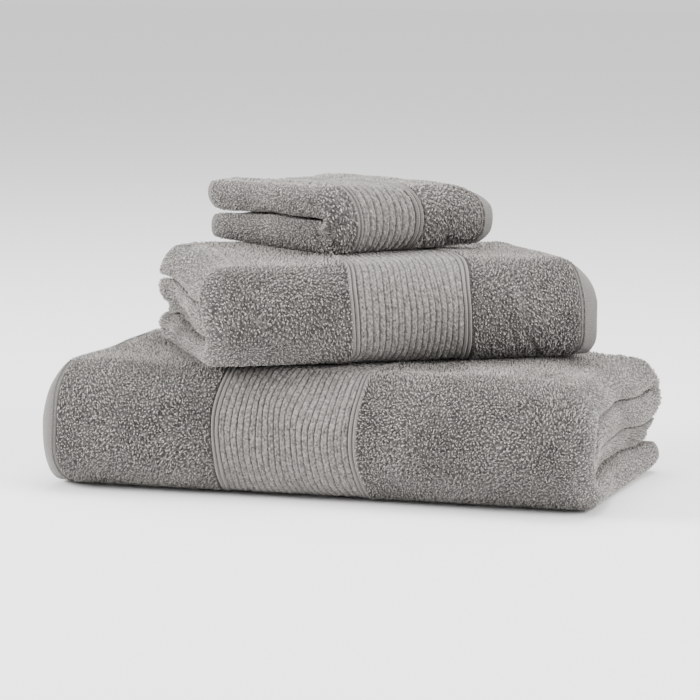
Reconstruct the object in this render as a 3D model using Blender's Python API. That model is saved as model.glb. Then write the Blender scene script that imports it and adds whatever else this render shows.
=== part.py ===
"""Bath towel set: three folded terry towels, stacked with the largest at the bottom.

Each towel is a cloth folded crosswise into a slab of four layers, and the slab is then folded
lengthwise along a path in its own cross-section. Every woven zone of the cloth is a closed solid
swept along that path. Lengths are metres, +Z is up and the long front folds face -Y.
"""

import math
from dataclasses import dataclass

import bmesh
import bpy
import numpy as np

# Clearances
GAP = 0.0003  # between two woven zones that touch
SLAB_GAP = 0.0004  # between two slabs of the same towel

# Folding
LAYERS_PER_SLAB = 4
ARC_STEP = math.radians(15)  # along a lengthwise bend
NOSE_STEPS = 6  # round a crosswise fold
SELVAGE_WIDTH = 0.010
SELVAGE_INSET = 0.006  # how far a free edge lies inside the towel's back
EDGE_INSET = 0.002  # how far hidden layers lie inside the hem end

# Bath towel, 0.70 x 1.40 m of cloth
BATH_LENGTH = 0.360
BATH_DEPTH = 0.200
BATH_LAYER = 0.00505
BATH_HEM = 0.013
BATH_END_FIELD = 0.1065
BATH_BAND = 0.0885

# Hand towel, 0.50 x 1.00 m of cloth
HAND_LENGTH = 0.256
HAND_DEPTH = 0.178
HAND_LAYER = 0.00535
HAND_HEM = 0.015
HAND_END_FIELD = 0.0685
HAND_BAND = 0.0725
HAND_SHIFT = (-0.004, 0.038)
HAND_TURN = math.radians(32.2)

# Guest towel, 0.30 x 0.50 m of cloth
GUEST_LENGTH = 0.131
GUEST_DEPTH = 0.156
GUEST_LAYER = 0.00535
GUEST_HEM = 0.013
GUEST_END_FIELD = 0.0515
GUEST_BAND = 0.0355
GUEST_SHIFT = (-0.034, 0.081)
GUEST_TURN = math.radians(51.2)

# Bands: a pair of raised cords along each edge
CORD_WIDTH = 0.004
CORD_DROP = 0.0006  # below the pile's surface
BAND_DROP = 0.0014


@dataclass(frozen=True)
class Finish:
    """Colour and roughness of one kind of weave."""

    name: str
    colour: tuple
    roughness: float


PILE = Finish("terry_pile", (0.29, 0.275, 0.262), 1.0)
BAND = Finish("dobby_band", (0.33, 0.315, 0.302), 0.9)
CORD = Finish("band_cord", (0.36, 0.345, 0.332), 0.85)
HEM = Finish("hem_weave", (0.38, 0.365, 0.352), 0.85)


@dataclass(frozen=True)
class Towel:
    """One folded towel. slabs lists the levels that the cloth passes through, from its outer edge."""

    name: str
    length: float
    depth: float
    layer: float
    slabs: tuple
    hem: float
    end_field: float
    band: float
    fold_side: int  # +1 with the crosswise folds at +X, -1 at -X
    shift: tuple = (0.0, 0.0)
    turn: float = 0.0

    @property
    def slab(self):
        return self.layer * LAYERS_PER_SLAB

    @property
    def height(self):
        return self.slab * len(self.slabs) - SLAB_GAP

    @property
    def half(self):
        """Half a slab's own thickness, without the gap to the next slab."""
        return (self.slab - SLAB_GAP) / 2

    @property
    def core(self):
        """Half the thickness of the two layers inside a slab."""
        return self.half - self.half / 2

    @property
    def front(self):
        """Where the front bends begin."""
        widest = abs(self.slabs[0] - self.slabs[1]) / 2
        return -self.depth / 2 + (widest + 0.5) * self.slab

    @property
    def back(self):
        """Where the back bends begin."""
        return self.depth / 2 - self.slab

    def level(self, index):
        """Height of the middle of one slab over the towel's underside."""
        return (index + 0.5) * self.slab - SLAB_GAP / 2


TOWELS = (
    Towel("bath_towel", BATH_LENGTH, BATH_DEPTH, BATH_LAYER, (0, 3, 2, 1),
          BATH_HEM, BATH_END_FIELD, BATH_BAND, 1),
    Towel("hand_towel", HAND_LENGTH, HAND_DEPTH, HAND_LAYER, (2, 0, 1),
          HAND_HEM, HAND_END_FIELD, HAND_BAND, -1, HAND_SHIFT, HAND_TURN),
    Towel("guest_towel", GUEST_LENGTH, GUEST_DEPTH, GUEST_LAYER, (1, 0),
          GUEST_HEM, GUEST_END_FIELD, GUEST_BAND, -1, GUEST_SHIFT, GUEST_TURN),
)


def straight(towel, index, side):
    """Stations (y, z, normal y, normal z) along the flat run of one slab."""
    last = index == len(towel.slabs) - 1
    heading = -1 if index % 2 == 0 else 1
    free_back = towel.depth / 2 - SELVAGE_INSET
    begin = free_back if index == 0 else (towel.back if heading < 0 else towel.front)
    if heading < 0:
        end = towel.front + GAP if last else towel.front
    else:
        end = free_back if last else towel.back
    z = towel.level(towel.slabs[index])
    return [(y, z, 0.0, side * heading) for y in (begin, end)]


def bend(towel, index, side):
    """Stations round the bend from one slab to the next, without its two ends."""
    heading = -1 if index % 2 == 0 else 1
    centre_y = towel.front if heading < 0 else towel.back
    z_from, z_to = (towel.level(towel.slabs[i]) for i in (index, index + 1))
    radius, rise = abs(z_to - z_from) / 2, math.copysign(1, z_to - z_from)
    count = round(math.pi / ARC_STEP)
    stations = []
    for angle in (math.pi * i / count for i in range(1, count)):
        y = centre_y + heading * radius * math.sin(angle)
        z = (z_from + z_to) / 2 - rise * radius * math.cos(angle)
        along = (heading * math.cos(angle), rise * math.sin(angle))
        stations.append((y, z, -side * along[1], side * along[0]))
    return stations


def cloth_paths(towel):
    """The slab's way through the cross-section: the outer wrap, and the fold inside it if there is one."""
    side = 1 if towel.slabs[1] > towel.slabs[0] else -1
    runs = [straight(towel, i, side) for i in range(len(towel.slabs))]
    bends = [bend(towel, i, side) for i in range(len(towel.slabs) - 1)]
    outer = runs[0] + bends[0] + runs[1]
    if len(runs) == 2:
        return outer, []
    outer += bends[1] + runs[2][:1]
    inner = [shifted(runs[2][0], runs[2][1], GAP)] + runs[2][1:]
    if len(runs) == 4:
        inner += bends[2] + runs[3]
    return outer, inner


def shifted(station, toward, distance):
    """The station moved along Y by a distance, towards another one."""
    step = math.copysign(distance, toward[0] - station[0])
    return (station[0] + step, *station[1:])


def split_edge(path, at_start):
    """The selvage at one end of a path, and the path that is left."""
    order = path if at_start else path[::-1]
    edge, following = order[0], order[1]
    selvage = [edge, shifted(edge, following, SELVAGE_WIDTH)]
    rest = [shifted(edge, following, SELVAGE_WIDTH + GAP)] + order[1:]
    return selvage, rest if at_start else rest[::-1]


def box(a0, a1, o0, o1):
    """Outline, in distance from the hem end and offset across the slab, of a flat zone."""
    return [(a0, o0), (a1, o0), (a1, o1), (a0, o1)]


def nose(centre, radius, downwards=True):
    """Half circle round a crosswise fold, from one face of the slab to the other."""
    angles = [math.pi / 2 - math.pi * i / (2 * NOSE_STEPS) for i in range(2 * NOSE_STEPS + 1)]
    points = [(centre + radius * math.cos(a), radius * math.sin(a)) for a in angles]
    return points if downwards else points[::-1]


def rounded(a0, tip, half):
    """Outline of a whole slab with a round crosswise fold."""
    return [(a0, half)] + nose(tip - half, half) + [(a0, -half)]


def wrap_outline(a0, towel, inset):
    """Outline of the layer that covers a slab, goes round its fold and returns underneath."""
    centre = towel.length - towel.half
    inside = towel.core + GAP
    return ([(a0, towel.half)] + nose(centre, towel.half) + [(inset, -towel.half), (inset, -inside)]
            + nose(centre, inside, downwards=False) + [(a0, inside)])


def inner_outline(towel, inset):
    """Outline of the two layers inside a slab, stepped where the second end's hem lies."""
    step = towel.hem + GAP
    return ([(step, towel.core)] + nose(towel.length - towel.half, towel.core)
            + [(inset, -towel.core), (inset, 0.0), (step, 0.0)])


def sweep(name, outline, path, towel, finish, parent):
    """A closed solid: the outline carried along the path, with a face on each end."""
    mesh = bmesh.new()
    rings = []
    for y, z, normal_y, normal_z in path:
        ring = []
        for a, o in outline:
            x = towel.fold_side * (a - towel.length / 2)
            ring.append(mesh.verts.new((x, y + o * normal_y, z + o * normal_z)))
        rings.append(ring)
    for ring, following in zip(rings, rings[1:]):
        for i, vertex in enumerate(ring):
            j = (i + 1) % len(ring)
            mesh.faces.new((vertex, ring[j], following[j], following[i]))
    mesh.faces.new(rings[0])
    mesh.faces.new(rings[-1])
    bmesh.ops.recalc_face_normals(mesh, faces=mesh.faces)
    data = bpy.data.meshes.new(name)
    mesh.to_mesh(data)
    mesh.free()
    data.shade_smooth()
    data.set_sharp_from_angle(angle=math.radians(40))
    data.materials.append(material(name, finish))
    solid = bpy.data.objects.new(name, data)
    solid.parent = parent
    bpy.context.scene.collection.objects.link(solid)
    return solid


def material(name, finish):
    """A Principled material of one woven zone."""
    made = bpy.data.materials.new(f"{name}_{finish.name}")
    made.use_nodes = True
    shader = made.node_tree.nodes["Principled BSDF"]
    shader.inputs["Base Color"].default_value = (*finish.colour, 1.0)
    shader.inputs["Roughness"].default_value = finish.roughness
    shader.inputs["Metallic"].default_value = 0.0
    return made


def cover_zones(towel):
    """Name, outline and finish of each zone of the layer that shows, from the hem end."""
    low, top = towel.core + GAP, towel.half
    zones, a = [], 0.0
    widths = (
        ("end_hem", towel.hem, CORD_DROP, HEM),
        ("end_field", towel.end_field, 0.0, PILE),
        ("band_cords_hem_side", CORD_WIDTH, CORD_DROP, CORD),
        ("dobby_band", towel.band, BAND_DROP, BAND),
        ("band_cords_pile_side", CORD_WIDTH, CORD_DROP, CORD),
    )
    for label, width, drop, finish in widths:
        zones.append((label, box(a, a + width - GAP, low, top - drop), finish))
        a += width
    zones.append(("main_field", wrap_outline(a, towel, EDGE_INSET), PILE))
    return zones


def build_towel(towel, base, parent):
    """All the solids of one folded towel, on an empty at the middle of its underside."""
    frame = bpy.data.objects.new(f"{towel.name}_frame", None)
    frame.parent = parent
    frame.location = (*towel.shift, base)
    frame.rotation_euler = (0.0, 0.0, towel.turn)
    bpy.context.scene.collection.objects.link(frame)
    outer, inner = cloth_paths(towel)
    outer_selvage, outer = split_edge(outer, True)
    if inner:
        inner_selvage, inner = split_edge(inner, False)
    else:
        inner_selvage, outer = split_edge(outer, False)

    def add(label, outline, path, finish):
        return sweep(f"{towel.name}_{label}", outline, path, towel, finish, frame)

    slab_outline = rounded(EDGE_INSET, towel.length, towel.half)
    solids = [add(label, outline, outer, finish) for label, outline, finish in cover_zones(towel)]
    solids.append(add("inner_layers", inner_outline(towel, EDGE_INSET), outer, PILE))
    solids.append(add("second_end_hem", box(EDGE_INSET, towel.hem, GAP, towel.core), outer, HEM))
    solids.append(add("first_selvage_hem", slab_outline, outer_selvage, HEM))
    solids.append(add("second_selvage_hem", slab_outline, inner_selvage, HEM))
    if inner:
        solids.append(add("inner_fold", slab_outline, inner, PILE))
    return solids


def centre_on_origin(root, solids):
    """Moves the root so that the set's box is centred in X and Y."""
    bpy.context.view_layer.update()
    points = np.array([solid.matrix_world @ v.co for solid in solids for v in solid.data.vertices])
    middle = (points.min(axis=0) + points.max(axis=0)) / 2
    root.location = (-middle[0], -middle[1], 0.0)


def main():
    for old in list(bpy.data.objects):
        bpy.data.objects.remove(old, do_unlink=True)
    root = bpy.data.objects.new("towel_set_frame", None)
    bpy.context.scene.collection.objects.link(root)
    solids, base = [], 0.0
    for towel in TOWELS:
        solids += build_towel(towel, base, root)
        base += towel.height + GAP
    centre_on_origin(root, solids)


main()
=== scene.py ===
"""The folded towel set as it looks: terry cloth, ribbed bands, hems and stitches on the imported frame.

Every towel is one cloth. A point of it is (s, w, h): s along the cloth from the end hem that shows,
w across it from the outer selvage and h off its middle surface. `Fold` carries such points round the
crosswise folds, then round the lengthwise folds, then into place, and each piece of the towel is a
grid of (s, w) points at a height h that its weave gives. Lengths are metres.
"""

import logging
import math
from collections.abc import Callable
from dataclasses import dataclass, field
from enum import Enum

import bpy
import numpy as np
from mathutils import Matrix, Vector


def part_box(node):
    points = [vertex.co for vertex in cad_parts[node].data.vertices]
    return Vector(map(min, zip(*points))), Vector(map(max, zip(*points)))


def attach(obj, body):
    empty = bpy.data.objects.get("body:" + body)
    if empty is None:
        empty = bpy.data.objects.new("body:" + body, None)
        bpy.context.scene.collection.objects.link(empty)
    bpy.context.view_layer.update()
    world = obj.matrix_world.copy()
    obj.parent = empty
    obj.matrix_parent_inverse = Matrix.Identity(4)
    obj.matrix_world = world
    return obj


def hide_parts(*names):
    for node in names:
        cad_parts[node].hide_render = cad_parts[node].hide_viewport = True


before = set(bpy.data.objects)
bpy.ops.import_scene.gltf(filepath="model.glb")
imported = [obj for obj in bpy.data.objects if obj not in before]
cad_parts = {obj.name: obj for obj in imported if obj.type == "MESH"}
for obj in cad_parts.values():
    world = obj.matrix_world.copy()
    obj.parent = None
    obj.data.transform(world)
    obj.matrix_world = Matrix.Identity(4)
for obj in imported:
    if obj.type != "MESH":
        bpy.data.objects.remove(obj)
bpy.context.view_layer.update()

log = logging.getLogger("towels")

# The folds.
SLAB_GAP = 0.0004
LAYERS_PER_SLAB = 4
SELVAGE_INSET = 0.006
BATH_DEPTH = 0.200
UNDER_NOSE = 0.03
PATH_SAMPLES = 60
PRESSED = 0.0014

# The weave. Each floor is how far the bottom of a zone lies under the face of the cloth.
SELVAGE_WIDTH = 0.006
CORD_WIDTH = 0.0054
STITCH_PITCH = 0.0034
STITCH_LENGTH = 0.0026
STITCH_INSET = 0.0032
THREAD = 0.00040
FACE_INSET = 0.0004
SKIRT_FLOOR = 0.0026
CORD_FLOOR = 0.0021
CORD_RISE = 0.0027
BAND_FLOOR = 0.0019
BAND_RISE = 0.0023
LOOP_FLOOR = 0.0016
PILE_FLOOR = 0.0012
PILE_SWELL = 0.0005
HEM_FLOOR = 0.0004
HEM_EDGE = 0.0016

# The grids. A zone is fine where it shows and this far round the corner, and coarse where it is hidden.
PILE_GRAIN = 0.0021
COARSE = 0.004
ROUND_CORNER = 0.03
LOOPS_ROUND_CORNER = 0.012
LOOPS_SHORT = 0.021
MOST_LOOPS = 10500

# The camera.
CAMERA_PLACE = (0.654, -2.025, 0.368)
CAMERA_TURN = math.radians(18.06)
CAMERA_DIP = math.radians(7.59)
FOCAL_LENGTH = 173.3

HeightField = Callable[[np.ndarray, np.ndarray], np.ndarray]
Socket = bpy.types.NodeSocket


class FoldSide(Enum):
    """The end of a towel that holds its crosswise folds."""

    LEFT = -1
    RIGHT = 1


# ---------------------------------------------------------------- fields


def lattice_noise(cells: np.ndarray, seed: int) -> np.ndarray:
    """Pseudo-random values in 0..1, one for each whole-numbered cell.

    Args:
        cells: Array (..., 2) of whole numbers.
        seed: Chooses the set of values.

    Returns:
        The fractional part of a large sine of the cell's numbers.
    """
    mixed = cells[..., 0] * 127.1 + cells[..., 1] * 311.7 + seed * 74.7
    return np.mod(np.sin(mixed) * 43758.5453, 1.0)


def value_noise(s: np.ndarray, w: np.ndarray, size: float, seed: int) -> np.ndarray:
    """Smooth noise in -1..1 over the cloth.

    Args:
        s: Distance along the cloth.
        w: Distance across the cloth.
        size: Width of one cell of the noise.
        seed: Chooses the pattern.

    Returns:
        Corner values of each cell, blended with smooth steps in both directions.
    """
    u, v = s / size, w / size
    cell = np.stack([np.floor(u), np.floor(v)], axis=-1)
    fu, fv = u - cell[..., 0], v - cell[..., 1]
    fu, fv = fu * fu * (3 - 2 * fu), fv * fv * (3 - 2 * fv)
    corners = [lattice_noise(cell + np.array([i, j]), seed) for i in (0, 1) for j in (0, 1)]
    low = corners[0] * (1 - fv) + corners[1] * fv
    high = corners[2] * (1 - fv) + corners[3] * fv
    return 2 * (low * (1 - fu) + high * fu) - 1


def dome_field(u: np.ndarray, v: np.ndarray, jitter: float, width: float, seed: int) -> np.ndarray:
    """Height of a field of round domes, in 0..1.

    Args:
        u: Position along the cloth, in domes.
        v: Position across the cloth, in domes.
        jitter: How far a dome strays from its lattice point, 0 to 1.
        width: Radius of a dome, in spacings.
        seed: Chooses their places and heights.

    Returns:
        One round dome for each lattice point: the highest dome wins.
    """
    base = np.stack([np.floor(u), np.floor(v)], axis=-1)
    best = np.zeros_like(u)
    for i in (-1, 0, 1):
        for j in (-1, 0, 1):
            cell = base + np.array([i, j])
            du = u - cell[..., 0] - 0.5 - jitter * (lattice_noise(cell, seed) - 0.5)
            dv = v - cell[..., 1] - 0.5 - jitter * (lattice_noise(cell, seed + 1) - 0.5)
            tall = 0.55 + 0.45 * lattice_noise(cell, seed + 2)
            dome = tall * np.sqrt(np.clip(1 - (du * du + dv * dv) / width ** 2, 0, 1))
            best = np.maximum(best, dome)
    return best


def smooth_step(value: np.ndarray, low: float, high: float) -> np.ndarray:
    """0 below low, 1 above high, a cubic between them."""
    t = np.clip((value - low) / (high - low), 0, 1)
    return t * t * (3 - 2 * t)


def waves(points: np.ndarray, length: float, seed: int) -> np.ndarray:
    """Gentle vector noise in space.

    Args:
        points: Array (..., 3).
        length: Mean wavelength.
        seed: Chooses the directions.

    Returns:
        Array (..., 3) in about -1..1: for each component, the mean of five sine waves whose
        directions, lengths and phases come from the seed.
    """
    rng = np.random.default_rng(seed)
    out = np.zeros_like(points)
    for axis in range(3):
        for _ in range(5):
            direction = rng.normal(size=3)
            direction *= 2 * math.pi / (length * rng.uniform(0.7, 1.5) * np.linalg.norm(direction))
            out[..., axis] += np.sin(points @ direction + rng.uniform(0, 2 * math.pi)) / 2.5
    return out


# ---------------------------------------------------------------- folding


@dataclass
class PlanePath:
    """A curve in a plane, sampled densely by its own length, with a normal at each sample."""

    points: np.ndarray
    normals: np.ndarray
    length: float = field(init=False)
    at: np.ndarray = field(init=False)

    def __post_init__(self) -> None:
        """Measures the samples along the curve."""
        steps = np.linalg.norm(np.diff(self.points, axis=0), axis=1)
        self.at = np.concatenate([[0.0], np.cumsum(steps)])
        self.length = float(self.at[-1])

    def place(self, distance: np.ndarray, offset: np.ndarray) -> tuple[np.ndarray, np.ndarray]:
        """Points beside the curve.

        Args:
            distance: How far along the curve they are.
            offset: How far along its normal.

        Returns:
            Both coordinates.
        """
        out = []
        for axis in (0, 1):
            point = np.interp(distance, self.at, self.points[:, axis])
            out.append(point + offset * np.interp(distance, self.at, self.normals[:, axis]))
        return out[0], out[1]

    def spread(self, low: float, high: float, widest: float, turn: float = 0.27) -> np.ndarray:
        """Positions along the curve, closer together where it bends.

        Args:
            low: Where they begin.
            high: Where they end.
            widest: Their spacing where the curve is straight.
            turn: The angle that the curve turns through from one to the next where it bends.

        Returns:
            Equal steps of the running sum of 1 / widest + curvature / turn.
        """
        at = np.linspace(low, high, 3000)
        normal = [np.interp(at, self.at, self.normals[:, axis]) for axis in (0, 1)]
        heading = np.unwrap(np.arctan2(normal[1], normal[0]))
        density = 1 / widest + np.abs(np.gradient(heading, at)) / turn
        total = np.concatenate([[0.0], np.cumsum((density[1:] + density[:-1]) / 2 * np.diff(at))])
        return np.interp(np.linspace(0, total[-1], math.ceil(total[-1]) + 1), total, at)


def run(begin: tuple, end: tuple) -> np.ndarray:
    """Samples of a straight stretch, without its end."""
    return np.linspace(begin, end, PATH_SAMPLES, endpoint=False)


def half_turn(centre: tuple, radius: float, start: float, sense: int) -> np.ndarray:
    """Samples of a half circle, without its end.

    Args:
        centre: Its middle.
        radius: Its radius.
        start: The angle that it starts from.
        sense: 1 for anticlockwise, -1 for clockwise.

    Returns:
        Array (n, 2).
    """
    angles = start + sense * np.linspace(0, math.pi, PATH_SAMPLES, endpoint=False)
    return np.stack([centre[0] + radius * np.cos(angles), centre[1] + radius * np.sin(angles)], axis=1)


def plane_path(stretches: list, side: int) -> PlanePath:
    """Joins stretches into a path.

    Args:
        stretches: Arrays (n, 2) of samples that follow one another.
        side: 1 for normals that point to the right of the way, -1 for the left.

    Returns:
        The path.
    """
    points = np.concatenate(stretches)
    points = points[np.concatenate([[True], np.linalg.norm(np.diff(points, axis=0), axis=1) > 1e-7])]
    along = np.gradient(points, axis=0)
    along /= np.linalg.norm(along, axis=1)[:, None]
    return PlanePath(points, side * np.stack([along[:, 1], -along[:, 0]], axis=1))


@dataclass(frozen=True)
class Crease:
    """A soft crease in a towel's outer face: a short line on the flat cloth.

    Its middle is at (along, across) from the end hem and the outer selvage, heading is its angle from
    the cloth's length in degrees, and reach is half its length.
    """

    along: float
    across: float
    heading: float
    reach: float
    depth: float

    def valley(self, s: np.ndarray, w: np.ndarray) -> np.ndarray:
        """How deep the crease is.

        Args:
            s: Distance along the cloth.
            w: Distance across the cloth.

        Returns:
            A valley of bell section along a slightly wavy line, fading towards both ends. A deeper
            one is wider.
        """
        angle = math.radians(self.heading)
        down = (s - self.along) * math.cos(angle) + (w - self.across) * math.sin(angle)
        beside = (w - self.across) * math.cos(angle) - (s - self.along) * math.sin(angle)
        beside = beside + 0.0010 * np.sin(down / 0.004)
        width = 0.0007 + 0.27 * self.depth
        return self.depth * np.exp(-((beside / width) ** 2) - (down / self.reach) ** 4)


@dataclass
class Fold:
    """How one towel's cloth is folded and where it lies.

    The cloth is folded twice crosswise into a slab of four layers. The slab passes through the levels
    in slabs, from its outer selvage, with its long bends at the front and the back by turns.

    Attributes:
        name: The towel's body, and the start of its pieces' names.
        flat: Width and length of the cloth when it is flat; not used.
        length: Length of the slab with its folds.
        depth: Depth of the folded towel.
        layer: Pitch of the layers.
        slabs: Level of each slab, from the outer selvage.
        hem: Width of the end hem.
        end_field: Length of the pile between the hem and the band.
        band: Length of the ribs.
        fold_side: The end that holds the crosswise folds.
        origin: Middle of the underside.
        lobes: Heights of the creases between the slabs at the fold end, as shares of the towel's.
        nose_depth: How deep the round of the upper slabs is there.
        nose_reach: How far their top reaches out there.
        nose_rise: How far their top rises there.
        hem_round: How far from the hem end its rounding begins.
        hem_soft: How much the upper corner of the hem end is rounded, 0 to 1.
        hem_front: How much its front corner is rounded, 0 to 1.
        back_droop: How far the back of the top hangs.
        turn: Turn about the vertical.
        creases: Share of its depth that each crease over the first keeps there.
        tuck: How far their round is drawn in.
        corner_droop: How much further the back corner of the hem end hangs.
        dents: Soft creases in the outer face.
        seed: Chooses its slow unevenness.
    """

    name: str
    flat: tuple[float, float]
    length: float
    depth: float
    layer: float
    slabs: tuple[int, ...]
    hem: float
    end_field: float
    band: float
    fold_side: FoldSide
    origin: tuple[float, float, float]
    lobes: tuple[float, ...]
    nose_depth: float
    nose_reach: float
    nose_rise: float
    hem_round: float
    hem_soft: float
    hem_front: float
    back_droop: float
    turn: float = 0.0
    creases: tuple[float, ...] = ()
    tuck: float = 0.002
    corner_droop: float = 0.0
    dents: tuple[Crease, ...] = ()
    seed: int = 1
    across: PlanePath = field(init=False)
    along: PlanePath = field(init=False)

    def __post_init__(self) -> None:
        """Works out the two paths that the cloth follows."""
        self.across = self._lengthwise_path()
        self.along = self._crosswise_path()

    @property
    def slab(self) -> float:
        """Pitch of the slabs."""
        return self.layer * LAYERS_PER_SLAB

    @property
    def half(self) -> float:
        """Half the thickness of a slab."""
        return (self.slab - SLAB_GAP) / 2

    @property
    def ply(self) -> float:
        """Pitch of the layers inside a slab."""
        return self.half / 2

    @property
    def height(self) -> float:
        """Height of the folded towel."""
        return self.slab * len(self.slabs) - SLAB_GAP

    @property
    def band_start(self) -> float:
        """Where the band's first cords begin, from the end hem."""
        return self.hem + self.end_field

    @property
    def pile_start(self) -> float:
        """Where the main pile begins, after the band's second cords."""
        return self.band_start + self.band + 2 * CORD_WIDTH

    @property
    def band_middle(self) -> float:
        """The middle of the band, from the end hem."""
        return (self.band_start + self.pile_start) / 2

    @property
    def front_bend(self) -> float:
        """Half the height between the slabs that the outer front fold joins."""
        return abs(self.slabs[0] - self.slabs[1]) * self.slab / 2

    @property
    def front(self) -> float:
        """Where the front bends begin."""
        return -self.depth / 2 + self.front_bend + self.slab / 2

    @property
    def back(self) -> float:
        """Where the back bends begin."""
        return self.depth / 2 - self.slab

    @property
    def inner_reach(self) -> float:
        """How far the innermost of three slabs reaches into the front bend."""
        return 0.46 * self.slab if len(self.slabs) == 3 else 0.0

    @property
    def nose_turn(self) -> float:
        """Where the outer crosswise fold begins, from the end hem."""
        return self.length - self.half

    @property
    def nose_end(self) -> float:
        """Where it ends."""
        return self.nose_turn + math.pi * 1.5 * self.ply

    @property
    def wrapped(self) -> float:
        """Where the cloth's outer face is out of sight under that fold."""
        return self.nose_end + UNDER_NOSE

    @property
    def free(self) -> float:
        """Where a free selvage lies, at the back."""
        return self.depth / 2 - SELVAGE_INSET

    @property
    def rolled(self) -> bool:
        """Whether more of the slab lies inside its outer wrap."""
        return len(self.slabs) > 2

    @property
    def from_below(self) -> bool:
        """Whether the outer wrap starts underneath."""
        return self.slabs[0] < self.slabs[1]

    @property
    def first_bend(self) -> float:
        """Where the first long bend begins, from the outer selvage."""
        return self.free - self.front

    @property
    def first_bend_end(self) -> float:
        """Where it ends."""
        return self.first_bend + math.pi * self.front_bend

    @property
    def second_bend(self) -> float:
        """Where the second long bend begins, or the other selvage lies."""
        return self.first_bend_end + (self.back if self.rolled else self.free) - self.front

    @property
    def outer_end(self) -> float:
        """Where the outer wrap ends."""
        return self.second_bend + math.pi * self.slab / 2 if self.rolled else self.second_bend - SELVAGE_WIDTH

    def level(self, index: int) -> float:
        """Height of the middle of a slab."""
        return (index + 0.5) * self.slab - SLAB_GAP / 2

    def _lengthwise_path(self) -> PlanePath:
        """The slab's way through the cross-section (y, z).

        Returns:
            A straight run on each level, joined by half turns.
        """
        stretches, y = [], self.free
        for i, index in enumerate(self.slabs):
            forward = i % 2 == 0
            last = i == len(self.slabs) - 1
            end = self.front if forward else self.back
            if last:
                end = self.front - self.inner_reach if forward else self.free
            stretches.append(run((y, self.level(index)), (end, self.level(index))))
            y = end
            if last:
                stretches.append(np.array([[end, self.level(index)]]))
                break
            rise = self.level(self.slabs[i + 1]) - self.level(index)
            centre = (end, self.level(index) + rise / 2)
            sense = int(math.copysign(1, rise)) * (-1 if forward else 1)
            stretches.append(half_turn(centre, abs(rise) / 2, -math.copysign(math.pi / 2, rise), sense))
        return plane_path(stretches, -1 if self.slabs[1] > self.slabs[0] else 1)

    def _crosswise_path(self) -> PlanePath:
        """The middle of the cloth through one slab (distance from the hem end, offset).

        Returns:
            Four straight runs, joined by half turns.
        """
        nose = self.nose_turn
        tail = self.ply
        outer, inner = 1.5 * self.ply, 0.5 * self.ply
        middle = -self.ply
        stretches = [
            run((0.0, outer), (nose, outer)),
            half_turn((nose, 0.0), outer, math.pi / 2, -1),
            run((nose, -outer), (tail, -outer)),
            half_turn((tail, middle), self.ply / 2, -math.pi / 2, -1),
            run((tail, -inner), (nose, -inner)),
            half_turn((nose, 0.0), inner, -math.pi / 2, 1),
            run((nose, inner), (0.0, inner)),
            np.array([[0.0, inner]]),
        ]
        return plane_path(stretches, -1)

    @property
    def outward(self) -> bool:
        """Whether s, w and h are right-handed once they are placed, so that grids face outwards."""
        here = self.place(*(np.array([[self.hem], [0.05], [0.0]]) + 1e-3 * np.eye(3, 4, 1)))
        return bool(np.linalg.det(here[1:] - here[0]) > 0)

    def place(self, s: np.ndarray, w: np.ndarray, h: np.ndarray) -> np.ndarray:
        """Carries points of the cloth into the folded towel.

        Args:
            s: Distance along the cloth from the end hem.
            w: Distance across the cloth from the outer selvage.
            h: Height over the cloth's middle surface, towards the side that shows.

        Returns:
            Array (..., 3) of points.
        """
        h = h - np.where(s < self.wrapped, self.dent(s, w), 0.0)
        a, offset = self.along.place(s, h)
        if self.inner_reach:
            inside = np.clip((w - self.across.length + self.inner_reach) / (self.inner_reach * 1.08), 0, 1)
            offset = offset * np.sqrt(1 - inside ** 2)
        y, z = self.across.place(w, offset)
        points = self.settle(a, y, z, offset)
        x = self.fold_side.value * (points[..., 0] - self.length / 2)
        cos, sin = math.cos(self.turn), math.sin(self.turn)
        east = self.origin[0] + cos * x - sin * points[..., 1]
        north = self.origin[1] + sin * x + cos * points[..., 1]
        return np.stack([east, north, self.origin[2] + points[..., 2]], axis=-1)

    def bared(self, s: np.ndarray) -> np.ndarray:
        """Share of the sheet's upper half that is left: little where pile or a band covers it."""
        return 0.36 + 0.64 * smooth_step(s, self.wrapped - 0.003, self.wrapped)

    def dent(self, s: np.ndarray, w: np.ndarray) -> np.ndarray:
        """Depth of the soft creases in the outer face at (s, w)."""
        return sum((crease.valley(s, w) for crease in self.dents), np.zeros_like(s))

    def settle(self, a: np.ndarray, y: np.ndarray, z: np.ndarray, offset: np.ndarray) -> np.ndarray:
        """The soft cloth's own sag and swell.

        Args:
            a: Distance from the hem end.
            y: Depth.
            z: Height.
            offset: Height in the slab from its middle.

        Returns:
            Array (..., 3): the ends shaped, the back and the folds lifted or lowered, and everything
            but the underside moved by slow noise.
        """
        a, z = self._fold_lobes(a, y, z, offset)
        a, y, z = self._round_hem_end(a, y, z)
        rise = np.clip(z / self.height, 0, 1)
        z = z - rise * self.back_droop * smooth_step(y, -0.03, self.depth / 2)
        corner = (1 - smooth_step(a, 0.0, 0.13)) * smooth_step(y, -0.02, self.depth / 2)
        z = z - rise * self.corner_droop * corner
        z = z + rise * self.nose_rise * smooth_step(a, self.length - 0.07, self.length - 0.01)
        a = a + rise * self.nose_reach * smooth_step(a, self.length - 0.05, self.length - 0.01)
        free = smooth_step(z, 0.0, 0.02) * (1 - 0.6 * smooth_step(z, self.height - 0.012, self.height))
        points = np.stack([a, y, z], axis=-1)
        drift = waves(points, 0.11, self.seed) * 0.0020 + waves(points, 0.045, self.seed + 7) * 0.0009
        grip = smooth_step(z, 0.0, 0.01)
        points = points + drift * np.stack([grip, grip, free], axis=-1)
        low = np.minimum(points[..., 2], PRESSED)
        points[..., 2] += PRESSED * np.exp(low / PRESSED - 1) - low
        return points

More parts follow.
